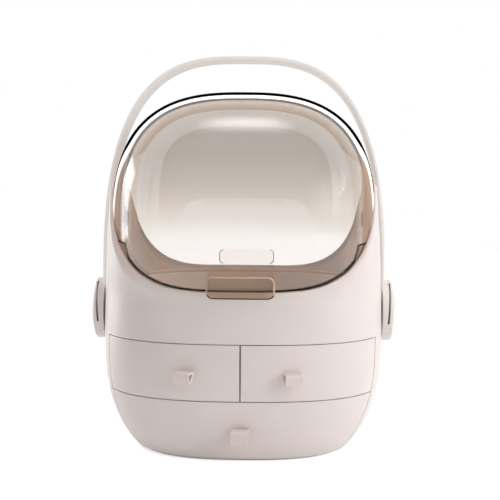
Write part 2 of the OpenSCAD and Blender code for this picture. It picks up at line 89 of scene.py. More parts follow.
def add(tree, kind, settings=None, **links):
    """Adds a node. Settings are its properties or input values; links are input=output."""
    node = tree.nodes.new(kind)
    for key, value in (settings or {}).items():
        if key in node.inputs:
            node.inputs[key].default_value = value
        else:
            setattr(node, key, value)
    for key, output in links.items():
        tree.links.new(node.inputs[key.replace("_", " ")], output)
    return node


def maths(tree, operation, first, second):
    """A calculation with two values, each an output or a number."""
    node = add(tree, "ShaderNodeMath", {"operation": operation})
    for socket, value in zip(node.inputs, (first, second)):
        if isinstance(value, (int, float)):
            socket.default_value = value
        else:
            tree.links.new(socket, value)
    return node.outputs["Value"]


def any_ray(tree, *names):
    """1 for rays of any of the named kinds, such as camera rays."""
    path = add(tree, "ShaderNodeLightPath")
    result = path.outputs[names[0]]
    for name in names[1:]:
        result = maths(tree, "MAXIMUM", result, path.outputs[name])
    return result


def step_up(tree, value, start, end):
    """0 below start, rising smoothly to 1 at end."""
    step = add(tree, "ShaderNodeMapRange", {
        "From Min": start, "From Max": end, "interpolation_type": "SMOOTHSTEP"}, Value=value)
    return step.outputs["Result"]


def mixed(tree, amount, first, second):
    """A mix of two shaders by 0 to 1, which is a number or an output."""
    both = add(tree, "ShaderNodeMixShader")
    if isinstance(amount, float):
        both.inputs["Fac"].default_value = amount
    else:
        tree.links.new(both.inputs["Fac"], amount)
    tree.links.new(both.inputs[1], first)
    tree.links.new(both.inputs[2], second)
    return both.outputs["Shader"]


def colour_stops(ramp, stops):
    """Fills a colour ramp with (place, hex colour) stops."""
    while len(ramp.elements) < len(stops):
        ramp.elements.new(0.5)
    for element, (place, colour) in zip(ramp.elements, stops):
        element.position, element.color = place, linear(colour)


def new_finish(name):
    """An empty material with its output node."""
    material = bpy.data.materials.new(name)
    material.use_nodes = True
    material.node_tree.nodes.clear()
    tree = material.node_tree
    return material, tree, tree.nodes.new("ShaderNodeOutputMaterial")


# %% [markdown]
# ## Moulded ABS
# The base is ABS in a warm off-white. The mould was spark-eroded to a fine satin, so the
# highlight is wide and soft, and the surface has a grain of about a third of a millimetre.
# Thick and thin walls cool unevenly, which leaves a faint, broad mottling.

# %% Satin ABS
def satin_abs(name, colour, roughness):
    """Spark-eroded ABS: a broad soft highlight, faint mottling and a fine grain."""
    material, tree, out = new_finish(name)
    place = add(tree, "ShaderNodeTexCoord")
    mottle = add(tree, "ShaderNodeTexNoise", {"Scale": 1 / 0.045, "Detail": 3.0},
                 Vector=place.outputs["Object"])
    shade = add(tree, "ShaderNodeValToRGB", Fac=mottle.outputs["Fac"])
    base = linear(colour)
    shade.color_ramp.elements[0].position = 0.3
    shade.color_ramp.elements[1].position = 0.7
    shade.color_ramp.elements[0].color = tuple(c * 0.975 for c in base[:3]) + (1,)
    shade.color_ramp.elements[1].color = tuple(min(1, c * 1.02) for c in base[:3]) + (1,)
    # the real grain is 0.3 mm; it is drawn at 0.6 mm so that it still shows in the render
    grain = add(tree, "ShaderNodeTexNoise", {"Scale": 1 / 0.0006, "Detail": 2.0},
                Vector=place.outputs["Object"])
    bump = add(tree, "ShaderNodeBump", {"Strength": 0.12, "Distance": 0.00006},
               Height=grain.outputs["Fac"])
    skin_node = add(tree, "ShaderNodeBsdfPrincipled", {"Roughness": roughness, "IOR": 1.53},
                    Base_Color=shade.outputs["Color"], Normal=bump.outputs["Normal"])
    tree.links.new(out.inputs["Surface"], skin_node.outputs["BSDF"])
    return material


abs_shell = satin_abs("moulded ABS, warm off-white", "#DCD4D0", 0.42)
abs_trim = satin_abs("moulded ABS, beige trim", "#DFD8D3", 0.38)
abs_dark = satin_abs("moulded ABS, dark brown", "#6E5A4E", 0.4)


def pale_strap():
    """Satin polypropylene that lets some light through. The emission is painted light, a glow in
    place of the light that scatters inside pale plastic, and makes the strap whiter than its
    colour."""
    material = satin_abs("moulded polypropylene, pale strap", "#F6F2EF", 0.36)
    tree = material.node_tree
    out = next(n for n in tree.nodes if n.type == "OUTPUT_MATERIAL")
    satin = out.inputs["Surface"].links[0].from_socket
    pale = linear("#FBF8F5")
    behind = add(tree, "ShaderNodeBsdfTranslucent", {"Color": pale}).outputs["BSDF"]
    # painted light: this emission makes the strap glow though it is no lamp
    glow = add(tree, "ShaderNodeEmission", {"Color": pale, "Strength": 0.8}).outputs["Emission"]
    lit = mixed(tree, 0.4, mixed(tree, 0.3, satin, behind), glow)
    tree.links.new(out.inputs["Surface"], lit)
    return material


strap_plastic = pale_strap()
print("finishes so far:", [m.name for m in bpy.data.materials if m.name.startswith("moulded")])

# %% [markdown]
# ## Tinted clear polystyrene
# The visors are general-purpose polystyrene, polished in the mould and tinted like weak
# tea. The tint is in the plastic's depth: two millimetres look almost clear, and along a
# curved side, where the eye looks through more of the wall, it turns beige. At the very
# outline clear plastic goes dark, because no light comes through it towards the eye.
# Those bands are painted here by the surface's facing, as a stand-in for refraction in a
# thick wall. They move with the view, and an exported model doesn't keep them.

# %% Tinted polystyrene
# the tint in the plastic's depth, and that of the lamp light which comes through a lid
TEA, TEA_DENSITY, LAMP_TINT = "#C9AE96", 30.0, "#EBDFD4"
SIDE_BAND = (0.1085, 0.1105)  # metres from the middle plane where the brown sides begin
# the front lid's white line is painted light, and its dark outline is painted shade
PAINTED_GLOW_LINE, PAINTED_DARK_OUTLINE = (0.69, 0.71), (0.775, 0.8)  # facings of the front lid's outline
# the rear lid's dark outline is painted shade
REAR_PAINTED_DARK_OUTLINE = (0.88, 0.9)  # facings of the rear lid's outline
REAR_STOPS = ((0.0, "#FFFFFF"), (0.585, "#FFFCF8"), (0.605, "#C4A284"), (0.8, "#EADBCB"))


def from_middle(tree):
    """How far a point is from the object's middle plane, and its height, in metres."""
    place = add(tree, "ShaderNodeTexCoord")
    parts = add(tree, "ShaderNodeSeparateXYZ", Vector=place.outputs["Object"])
    return maths(tree, "ABSOLUTE", parts.outputs["X"], 0.0), parts.outputs["Z"]


def matt(tree, colour, glow=0.0):
    """A matt face, as thick plastic has where the eye looks along it. A glow above 0 is painted
    light.
    """
    return add(tree, "ShaderNodeBsdfPrincipled", {
        "Base Color": linear(colour), "Roughness": 0.6, "Specular IOR Level": 0.0,
        "Emission Color": linear("#FFFAF4"), "Emission Strength": glow}).outputs["BSDF"]


def finish_visor(tree, out, body):
    """Lamp light passes the visor as through a tinted pane, and the depth takes the tint."""
    passing = add(tree, "ShaderNodeBsdfTransparent", {"Color": linear(LAMP_TINT)})
    surface = mixed(tree, any_ray(tree, "Is Shadow Ray", "Is Diffuse Ray"), body,
                    passing.outputs["BSDF"])
    depth = add(tree, "ShaderNodeVolumeAbsorption", {
        "Color": linear(TEA), "Density": TEA_DENSITY})
    tree.links.new(out.inputs["Surface"], surface)
    tree.links.new(out.inputs["Volume"], depth.outputs["Volume"])


def outer_visor():
    """The front lid: clear, a painted glowing white line and then a painted dark outline at its
    edge, and brown along its sides.
    """
    material, tree, out = new_finish("tinted clear polystyrene, outer visor")
    facing = add(tree, "ShaderNodeLayerWeight", {"Blend": 0.5}).outputs["Facing"]
    across, _ = from_middle(tree)
    body = add(tree, "ShaderNodeBsdfPrincipled", {
        "Base Color": (1, 1, 1, 1), "Roughness": 0.012, "IOR": 1.49,
        "Transmission Weight": 1.0}).outputs["BSDF"]
    thick = maths(tree, "MULTIPLY", step_up(tree, across, *SIDE_BAND),
                  step_up(tree, facing, 0.38, 0.5))
    body = mixed(tree, maths(tree, "MULTIPLY", thick, 0.8), body, matt(tree, "#A58A76"))
    # just inside the outline is a white line, painted light that glows, and the outline starts
    # later at the sides
    sides = maths(tree, "MULTIPLY", step_up(tree, across, 0.105, 0.122), -0.11)
    slant = maths(tree, "ADD", facing, sides)
    body = mixed(tree, step_up(tree, slant, *PAINTED_GLOW_LINE), body, matt(tree, "#FFFDFA", 0.4))
    # the outline is painted shade: an opaque near-black face where the plastic lets no light
    # through
    body = mixed(tree, step_up(tree, slant, *PAINTED_DARK_OUTLINE), body, matt(tree, "#050404"))
    finish_visor(tree, out, body)
    return material


def inner_visor():
    """The rear lid: clear, with a beige band along the top and a thin outline of painted shade."""
    material, tree, out = new_finish("tinted clear polystyrene, inner visor")
    facing = add(tree, "ShaderNodeLayerWeight", {"Blend": 0.5}).outputs["Facing"]
    across, level = from_middle(tree)
    # the band fades out down the sides
    side = maths(tree, "MULTIPLY", step_up(tree, across, 0.095, 0.105),
                 step_up(tree, level, 0.292, 0.262))
    slant = maths(tree, "ADD", facing, maths(tree, "MULTIPLY", side, -0.4))
    shade = add(tree, "ShaderNodeValToRGB", Fac=slant)
    colour_stops(shade.color_ramp, REAR_STOPS)
    body = add(tree, "ShaderNodeBsdfPrincipled", {
        "Roughness": 0.012, "IOR": 1.49, "Specular IOR Level": 0.25,
        "Transmission Weight": 1.0}, Base_Color=shade.outputs["Color"]).outputs["BSDF"]
    # painted shade: an opaque dark face along the rear lid's outline
    body = mixed(tree, step_up(tree, slant, *REAR_PAINTED_DARK_OUTLINE), body, matt(tree, "#4A382C"))
    finish_visor(tree, out, body)
    return material


def clear_tab(name, tint):
    """A grip tab: seen through without refraction, with a gloss on its outside only."""
    material, tree, out = new_finish(name)
    inside = add(tree, "ShaderNodeNewGeometry").outputs["Backfacing"]
    fresnel = add(tree, "ShaderNodeFresnel", {"IOR": 1.49}).outputs["Fac"]
    gloss = maths(tree, "MULTIPLY", fresnel, maths(tree, "SUBTRACT", 1.0, inside))
    clear = add(tree, "ShaderNodeBsdfTransparent", {"Color": linear(tint)}).outputs["BSDF"]
    shine = add(tree, "ShaderNodeBsdfAnisotropic", {"Roughness": 0.03}).outputs["BSDF"]
    tree.links.new(out.inputs["Surface"], mixed(tree, gloss, clear, shine))
    return material


front_plastic, rear_plastic = outer_visor(), inner_visor()
tab_plastic = clear_tab("tinted clear polystyrene, thick tab", "#F3EBE2")
thin_tab = clear_tab("tinted clear polystyrene, thin tab", "#FDFBF9")


def cut_edge(name, colour):
    """An edge or a rim of the tinted plastic, matt from the mould's parting, in a colour of
    painted shade or painted light.
    """
    material, tree, out = new_finish(name)
    face = add(tree, "ShaderNodeBsdfPrincipled", {
        "Base Color": linear(colour), "Roughness": 0.6, "Specular IOR Level": 0.1})
    tree.links.new(out.inputs["Surface"], face.outputs["BSDF"])
    return material


# a shaded copy and two lit copies of one matt finish: painted shade, painted light and a painted
# glint
painted_shade_edge = cut_edge("cut edge of tinted polystyrene, in shade", "#0D0A08")
painted_light_edge = cut_edge("cut edge of tinted polystyrene, lit", "#E6D6C6")
painted_glint_rim = cut_edge("rounded rim of tinted polystyrene", "#C4AA97")

# %% [markdown]
# ## The small finishes
# The pulls are soft strips with a smooth face, the clips and screws are zinc-coated steel.

# %% Soft strip and steel
soft_strip = satin_abs("soft beige strip", "#DCD2CB", 0.5)


def zinc_steel():
    """Zinc-coated steel: grey, a little dull, with fine drawing marks."""
    material, tree, out = new_finish("zinc-coated steel")
    place = add(tree, "ShaderNodeTexCoord")
    marks = add(tree, "ShaderNodeTexNoise", {"Scale": 1 / 0.0015, "Detail": 4.0},
                Vector=place.outputs["Object"])
    bump = add(tree, "ShaderNodeBump", {"Strength": 0.1, "Distance": 0.0001},
               Height=marks.outputs["Fac"])
    face = add(tree, "ShaderNodeBsdfPrincipled", {
        "Base Color": linear("#B8B8B6"), "Metallic": 1.0, "Roughness": 0.35},
        Normal=bump.outputs["Normal"])
    tree.links.new(out.inputs["Surface"], face.outputs["BSDF"])
    return material


steel = zinc_steel()

# %% [markdown]
# ## The formulas of the egg
# The base is a squared oval that widens quickly above the table and draws in slowly
# towards the rim. These are the same formulas as in the CAD source, so each smooth skin
# lies where its CAD solid is. Sizes are in millimetres.

# %% The egg's outline
PLINTH, WIDEST, SEAM = 1.5, 108.0, 126.0
RIM, REAR_RIM, CHEEK, CHEEK_DRAW, CLIMB, RIM_Y = 158.0, 162.4, 256.0, 8.1, 1.62, 110.0
PIVOT, DOME_A, DOME_R, DOME_N = 219.5, 128.0, 124.4, 2.7
WALL, FRONT_WALL = 2.5, 2.4


def signed_power(value, power):
    return abs(value) ** power * (1 if value >= 0 else -1)


def half_width(z):
    if z < WIDEST:
        rise = max(0.0, (z - PLINTH) / (WIDEST - PLINTH))
        return 104.8 + 32.1 * (1 - (1 - rise) ** 2.75) ** 0.85
    return 136.9 - CHEEK_DRAW * ((z - WIDEST) / (CHEEK - WIDEST)) ** 1.5


def half_depth(z):
    if z < WIDEST:
        return 108.9 * (half_width(z) / 136.9) ** 0.68
    bulge = sqrt((DOME_R + 1.8) ** 2 - (PIVOT - z) ** 2)
    return 108.9 * (1 + (bulge / 108.9) ** 60) ** (1 / 60)


def plan_power(z):
    return 2.54 + 0.2 * min(1.0, max(0.0, (z - 150) / 50))


def on_egg(angle, z, inset=0.0):
    """A point of the egg's section at a height; the angle runs round from +X, in degrees."""
    power = 2 / plan_power(z)
    x = (half_width(z) - inset) * signed_power(cos(radians(angle)), power)
    y = (half_depth(z) - inset) * signed_power(sin(radians(angle)), power)
    return Vector((x, y, z))


def rim_height(y):
    t = min(1.0, abs(y) / RIM_Y) ** CLIMB
    low = REAR_RIM if y > 0 else RIM
    return low + (CHEEK - low) * (1 + cos(pi * t)) / 2


print("waist width", 2 * half_width(WIDEST), "mm, depth", round(2 * half_depth(WIDEST), 1), "mm")

# %% [markdown]
# The oval's own angle bunches points together, so a table turns an even walk round the
# outline into that angle. Points then lie evenly, and the shading is even too.

# %% An even walk round the oval
walk_angles = np.linspace(0, 360, 7201)
walk_points = np.array([on_egg(a, WIDEST)[:2] for a in walk_angles])
walk_length = np.r_[0, np.cumsum(np.hypot(*np.diff(walk_points, axis=0).T))]
walk_length /= walk_length[-1]


def angle_at(walk):
    return float(np.interp(walk, walk_length, walk_angles))


def walk_at(angle):
    return float(np.interp(angle, walk_angles, walk_length))


# %% [markdown]
# ## Making a moulded skin
# A moulding is two surfaces a wall apart. A grid is bent over each of them by a formula,
# and the borders are bridged, which gives a closed solid with real edges. A narrow bevel
# then rounds the edges as the mould does, and catches the light along them.

# %% A skin from two bent grids
def round_edges(piece, name, width, segments, angle):
    """Rounds the edges that are sharper than an angle, as a modifier."""
    rounding = piece.modifiers.new(name, "BEVEL")
    rounding.width, rounding.segments = width * MM, segments
    rounding.limit_method, rounding.angle_limit = "ANGLE", radians(angle)
    rounding.harden_normals = True


def give_wall(piece, name, thickness, offset, even):
    """Gives a surface its wall, as a modifier."""
    wall = piece.modifiers.new(name, "SOLIDIFY")
    wall.thickness, wall.offset, wall.use_even_offset = thickness * MM, offset, even


def cut_at(bm, place, normal, clear=False):
    """Cuts all faces at a plane, and can clear away what lies beyond it."""
    bmesh.ops.bisect_plane(bm, geom=bm.verts[:] + bm.edges[:] + bm.faces[:], dist=0.0005,
                           plane_co=place, plane_no=normal, clear_outer=clear)


def finish_piece(name, bm, material, bevel=0.0, segments=2, smooth_angle=35.0):
    """Turns a bmesh in millimetres into an object in metres with its finish."""
    bmesh.ops.scale(bm, vec=(MM, MM, MM), verts=bm.verts)
    mesh = bpy.data.meshes.new(name)
    bm.to_mesh(mesh)
    bm.free()
    for polygon in mesh.polygons:
        polygon.use_smooth = True
    piece = bpy.data.objects.new(name, mesh)
    bpy.context.scene.collection.objects.link(piece)
    mesh.materials.append(material)
    if bevel:
        round_edges(piece, "rounded edges", bevel, segments, smooth_angle)
    else:
        mesh.set_sharp_from_angle(angle=radians(smooth_angle))
    return piece


def bent_skin(columns, rows, outer, inner, ring=False):
    """Two grids bent by outer(u, v) and inner(u, v), joined along their borders."""
    bm = bmesh.new()
    side = bm.verts.layers.int.new("side")
    for place in (outer, inner):
        made = bmesh.ops.create_grid(bm, x_segments=columns, y_segments=rows, size=0.5)
        for v in made["verts"]:
            across, along = v.co.x + 0.5, v.co.y + 0.5
            # 1 and 2 mark the borders, and 3 the row next to the first border
            ends = 1 if along < 0.001 else 2 if along > 0.999 else 0
            v[side] = ends or (3 if along < 1.5 / rows else 0)
            v.co = place(across, along)
    if ring:
        bmesh.ops.remove_doubles(bm, verts=bm.verts, dist=0.002)
        for mark in (1, 2):
            border = [e for e in bm.edges if e.is_boundary and e.verts[0][side] == mark]
            bmesh.ops.bridge_loops(bm, edges=border)
    else:
        bmesh.ops.bridge_loops(bm, edges=[e for e in bm.edges if e.is_boundary])
    bmesh.ops.recalc_face_normals(bm, faces=bm.faces)
    return bm


# %% [markdown]
# ## The lower casing
# It is one moulding that is open below and in front, where the drawers are. The whole
# ring is bent first, and then cut at the plane behind the drawer fronts and at the seam
# above them, and the part in front is taken out. The hubs of the handle sit in two
# shallow round seats, which are pressed into the skin.

# %% The lower casing
OPEN_Y, OPEN_Z = -55.65, 111.35
HUB_Z, SEAT_X, SEAT_R = 129.0, 135.4, 31.3


def hub_seat(point, depth=0.0):
    """Presses the seats for the handle's hubs into a point of the skin."""
    away = sqrt(point.y**2 + (point.z - HUB_Z) ** 2)
    deep = min(1.0, max(0.0, (SEAT_R + 1.6 - away) / 1.6))
    limit = SEAT_X - depth
    if deep > 0 and abs(point.x) > limit:
        flat = limit * (1 if point.x > 0 else -1)
        point.x += (flat - point.x) * deep
    return point


def open_skin(low, high, columns, rows, inset):
    """One surface of the casing, with the drawers' opening cut out of it."""
    bm = bmesh.new()
    made = bmesh.ops.create_grid(bm, x_segments=columns, y_segments=rows, size=0.5)
    for v in made["verts"]:
        # more rows near the table, where the egg curves most
        climb = (v.co.y + 0.5) ** 1.6
        v.co = on_egg(angle_at(v.co.x + 0.5), low + (high - low) * climb, inset)
    bmesh.ops.remove_doubles(bm, verts=bm.verts, dist=0.002)
    for place, normal in (((0, OPEN_Y, 0), (0, 1, 0)), ((0, 0, OPEN_Z), (0, 0, 1))):
        cut_at(bm, place, normal)
    front = [f for f in bm.faces
             if f.calc_center_median().y < OPEN_Y and f.calc_center_median().z < OPEN_Z]
    bmesh.ops.delete(bm, geom=front, context="FACES")
    return bm


casing_bm = open_skin(PLINTH, SEAM, 320, 90, 0.0)
for v in casing_bm.verts:
    v.co = hub_seat(v.co)
casing = finish_piece("lower_casing_skin", casing_bm, abs_shell)
give_wall(casing, "wall", WALL, -1.0, True)
round_edges(casing, "rounded edges", 0.5, 2, 40)
print("lower casing faces:", len(casing.data.polygons))


# %% [markdown]
# The deck closes the drawer bay and carries the tray. It is a flat plate in the casing,
# a disc bent to the oval and given its thickness.

# %% The deck and the base plate
PLATE_INSET = WALL + 0.15


def oval_plate(name, z, section_z, thickness, bevel):
    """A flat plate with the egg's outline at one height."""
    bm = bmesh.new()
    count = 160
    bmesh.ops.create_circle(bm, segments=count, radius=1.0, cap_ends=True)
    for v in bm.verts:
        walk = (atan2(v.co.y, v.co.x) / (2 * pi)) % 1.0
        v.co = on_egg(angle_at(walk), section_z, PLATE_INSET)
        v.co.z = z
    lifted = bmesh.ops.extrude_face_region(bm, geom=bm.faces[:])
    top = [g for g in lifted["geom"] if isinstance(g, bmesh.types.BMVert)]
    bmesh.ops.translate(bm, vec=(0, 0, thickness), verts=top)
    bmesh.ops.recalc_face_normals(bm, faces=bm.faces)
    return finish_piece(name, bm, abs_shell, bevel)


deck = oval_plate("deck_plate_cover", 112.5, 112.5, 2.5, 0.3)
shelf = oval_plate("drawer_shelf_cover", 57.35, 57.35, 2.5, 0.3)
base = oval_plate("base_plate_cover", 0.0, PLINTH, 4.0, 0.6)
for piece, node in ((casing, "lower_casing"), (deck, "deck_plate"), (shelf, "drawer_shelf"),
                    (base, "base_plate")):
    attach(piece, "base")
    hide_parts(node)

# %% [markdown]
# ## The drawer fronts
# Each front is a piece of the same skin, so its face carries on the egg's curve. The
# grid runs from one side of the front to the other, evenly along the outline, and from
# its lower seam to its upper one.

# %% The drawer fronts
FRONT_END_Y = 56.35


def side_angle(z, inset):
    """The oval's angle where the drawer fronts end, seen from the +X side."""
    return degrees(asin((FRONT_END_Y / (half_depth(z) - inset)) ** (plan_power(z) / 2)))


def middle_angle(x, z, inset):
    """The oval's angle at a place across the front."""
    lean = signed_power(x / (half_width(z) - inset), plan_power(z) / 2)
    return 360 - degrees(acos(lean))


def drawer_skin(name, z0, z1, x0, x1, columns, rows):
    def face(inset):
        def place(u, v):
            z = z0 + (z1 - z0) * v
            side = side_angle(z, inset)
            start = 180 + side if x0 is None else middle_angle(x0, z, inset)
            end = 360 - side if x1 is None else middle_angle(x1, z, inset)
            walk = walk_at(start) + (walk_at(end) - walk_at(start)) * u
            return on_egg(angle_at(walk), z, inset)
        return place
    bm = bent_skin(columns, rows, face(0.0), face(FRONT_WALL))
    piece = finish_piece(name, bm, abs_shell, 0.55, 3)
    return piece


left_front = drawer_skin("drawer_front_left_skin", 59.15, 110.65, None, -0.75, 90, 36)
right_front = drawer_skin("drawer_front_right_skin", 59.15, 110.65, 0.75, None, 90, 36)
lower_front = drawer_skin("drawer_front_lower_skin", 2.2, 58.45, None, None, 180, 48)
for piece, node, body in ((left_front, "drawer_front_left", "left_drawer"),
                          (right_front, "drawer_front_right", "right_drawer"),
                          (lower_front, "drawer_front_lower", "lower_drawer")):
    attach(piece, body)
    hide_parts(node)
print("drawer fronts:", [len(p.data.polygons) for p in (left_front, right_front, lower_front)])

# %% [markdown]
# ## The upper shell
# Above the seam the skin rises to the rim, which is low in front and behind and climbs
# to a cheek at each side. Every column of the grid ends exactly at the rim, so the edge
# is smooth, and its last four millimetres are rounded over inwards to meet the lid.
# Inside, the cheeks are hollowed by the dome, with room for it to turn.

# %% The upper shell
CHEEK_GAP = 0.6
LIP_H, LIP_T, LIP_V, LIP_GAP = 4.0, 0.4, 0.78, 0.35


def top_of_column(angle):
    """The height at which a column of the skin meets the rim."""
    low, high = SEAM, CHEEK
    for _ in range(40):
        middle = (low + high) / 2
        if middle < rim_height(on_egg(angle, middle).y):
            low = middle
        else:
            high = middle
    return low


column_tops = {}


def dome_depth(point, shrink):
    """Below 1 inside the dome's swept outline, above 1 outside it."""
    out = sqrt(point.y**2 + (point.z - PIVOT) ** 2) / (DOME_R - shrink)
    return (abs(point.x) / (DOME_A - shrink)) ** DOME_N + out**DOME_N


def rim_tip(angle, top):
    """The place where the rim, rounded over inwards, meets the dome's outline."""
    low, high = 0.0, 12.0
    for _ in range(30):
        middle = (low + high) / 2
        point = on_egg(angle, top, middle)
        point.z = min(CHEEK, rim_height(point.y))
        if dome_depth(point, -LIP_GAP - LIP_T) < 1:
            high = middle
        else:
            low = middle
    point = on_egg(angle, top, low)
    point.z = min(CHEEK, rim_height(point.y))
    return point


def shell_outer(u, v):
    angle = angle_at(u)
    key = round(u, 6)
    if key not in column_tops:
        top = top_of_column(angle)
        column_tops[key] = (top, rim_tip(angle, top))
    top, tip = column_tops[key]
    start = top - LIP_H
    if v <= LIP_V:
        return hub_seat(on_egg(angle, SEAM + (start - SEAM) * v / LIP_V))
    turn = (v - LIP_V) / (1 - LIP_V) * pi / 2
    low = on_egg(angle, start)
    return Vector((tip.x + (low.x - tip.x) * cos(turn), tip.y + (low.y - tip.y) * cos(turn),
                   start + (tip.z - start) * sin(turn)))


def shell_inner(u, v):
    outside = shell_outer(u, v)
    if v > LIP_V:
        blend = (v - LIP_V) / (1 - LIP_V)
        inward = -Vector((outside.x, outside.y, 0)).normalized()
        thickness = LIP_T + (WALL - LIP_T) * (1 - blend)
        point = outside + inward * thickness - Vector((0, 0, 0.4 * blend))
    else:
        point = on_egg(angle_at(u), outside.z, WALL)
    gap = LIP_GAP if v > LIP_V else CHEEK_GAP
    if point.z > 140 and dome_depth(point, -gap) < 1:
        low, high = 0.0, 1.0
        for _ in range(30):
            middle = (low + high) / 2
            if dome_depth(point.lerp(outside, middle), -gap) < 1:
                low = middle
            else:
                high = middle
        point = point.lerp(outside, min(high, 0.75))
    if abs(outside.x) < abs(point.x) + 0.9 and abs(outside.x) > 120:
        point.x = (abs(outside.x) - 0.9) * (1 if outside.x > 0 else -1)
    return point


shell_bm = bent_skin(320, 44, shell_outer, shell_inner, ring=True)
upper_shell = finish_piece("upper_shell_skin", shell_bm, abs_shell, 0.5, 3, 50.0)
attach(upper_shell, "base")
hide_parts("upper_shell")
rim_tops = [top for top, _ in column_tops.values()]
print("rim runs from", round(min(rim_tops), 1), "to", round(max(rim_tops), 1), "mm")

# %% [markdown]
# ## The dome's lids
# Both lids are part of one shape, a squared curve turned about the axis through the two
# pivots. The front lid's edge follows the rim, and the rear lid's runs straight, hidden
# inside the rim. Each turns in at a corner and narrows into an arm that ends in a round
# boss on the pivot pin. Each column of the grid is one ring of that shape, and runs from
# the lower edge over the top.

# %% A lid's outline
BOSS_R, PIN_R, OVERLAP, FRONT_GAP, REAR_EDGE = 12.0, 4.05, 8.0, 0.4, 158.6


def lower_angle(r, corner_y, corner_drop, edge_height):
    """How far below the pivot's level the lid's edge is on a ring of radius r, in degrees."""
    if r <= BOSS_R:
        return 90.0
    if r <= sqrt(corner_y**2 + corner_drop**2):
        low, high = 0.0, 1.0
        for _ in range(40):
            s = (low + high) / 2
            if sqrt((corner_y * s) ** 2 + (BOSS_R + (corner_drop - BOSS_R) * s) ** 2) < r:
                low = s
            else:
                high = s
        return degrees(atan2(BOSS_R + (corner_drop - BOSS_R) * low, corner_y * low))
    upright = degrees(acos(corner_y / r))
    low, high = 0.0, 60.0
    for _ in range(40):
        middle = (low + high) / 2
        y, z = r * cos(radians(middle)), PIVOT - r * sin(radians(middle))
        if z > edge_height(y):
            low = middle
        else:
            high = middle
    return min(upright, low)


def front_lower_angle(r):
    return lower_angle(r, 84.59, 20.5, lambda y: rim_height(-y) + FRONT_GAP)


def rear_lower_angle(r):
    return lower_angle(r, 52.0, PIVOT - REAR_EDGE, lambda y: REAR_EDGE)


def lid_skin(name, shrink, lower, facing, edge_band, materials, columns=260, rows=110):
    start = degrees(asin((PIN_R / DOME_R) ** (DOME_N / 2)))

    def face(inset):
        def place(u, v):
            t = radians(180 - start - (180 - 2 * start) * u)
            r = max(PIN_R, (DOME_R - inset) * sin(t) ** (2 / DOME_N))
            x = (DOME_A - inset) * signed_power(cos(t), 2 / DOME_N)
            low = lower(r)
            # the first row is the narrow band along the edge
            band, sweep = min(1.0, v * rows) * degrees(edge_band / r), 90 + OVERLAP + low
            angle = radians(low - band - (sweep - band) * max(0.0, v * rows - 1) / (rows - 1))
            return Vector((x, -facing * r * cos(angle), PIVOT - r * sin(angle)))
        return place

    bm = bent_skin(columns, rows, face(shrink), face(shrink + 2.0))
    side = bm.verts.layers.int["side"]
    for f in bm.faces:
        marks = {v[side] for v in f.verts}
        if marks in ({1}, {1, 3}):
            f.material_index = 1
        elif marks == {2}:
            f.material_index = 2
    lid = finish_piece(name, bm, materials[0], 0.3, 2, 50.0)
    for edge_material in materials[1:]:
        lid.data.materials.append(edge_material)
    return lid


# the front lid's lower edge is painted shade and its far edge over the top is painted light; the
# rear lid's are the other way round
front_lid = lid_skin("front_lid_skin", 0.0, front_lower_angle, 1, 1.7,
                     (front_plastic, painted_shade_edge, painted_light_edge))
rear_lid = lid_skin("rear_lid_skin", 5.0, rear_lower_angle, -1, 0.7,
                    (rear_plastic, painted_light_edge, painted_shade_edge))
for piece, node, body in ((front_lid, "front_lid", "front_visor"),
                          (rear_lid, "rear_lid", "rear_visor")):
    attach(piece, body)
    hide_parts(node)
print("lid faces:", len(front_lid.data.polygons), len(rear_lid.data.polygons))


# %% [markdown]
# Each arm ends in a thicker round boss with the bore for the pin. It is a small outline
# spun about the pivot axis, once for each side and lid.

# %% The bosses and other turned pieces
def turned(profile, side, z, steps=96):
    """Spins a closed outline of (radius, x) about an axis along X at a height."""
    bm = bmesh.new()
    corners = [bm.verts.new((side * x, 0.0, z + r)) for r, x in profile]
    outline = bm.faces.new(corners)
    bmesh.ops.spin(bm, geom=[outline] + outline.edges[:] + corners, cent=(0, 0, z),
                   axis=(1, 0, 0), angle=2 * pi, steps=steps, use_merge=True)
    bmesh.ops.remove_doubles(bm, verts=bm.verts, dist=0.002)
    inside = [f for f in bm.faces if len(f.verts) == len(profile) and len(profile) > 4]
    bmesh.ops.delete(bm, geom=inside, context="FACES_ONLY")
    bmesh.ops.recalc_face_normals(bm, faces=bm.faces)
    return bm


for side, end in ((-1, "left"), (1, "right")):
    for lid, body, x0, x1 in (("front", "front_visor", 124.8, 125.9),
                              ("rear", "rear_visor", 119.7, 120.9)):
        bm = turned([(PIN_R, x0), (BOSS_R, x0), (BOSS_R, x1), (PIN_R, x1)], side, PIVOT)
        boss = finish_piece(f"{lid}_lid_boss_{end}", bm, thin_tab)
        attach(boss, body)
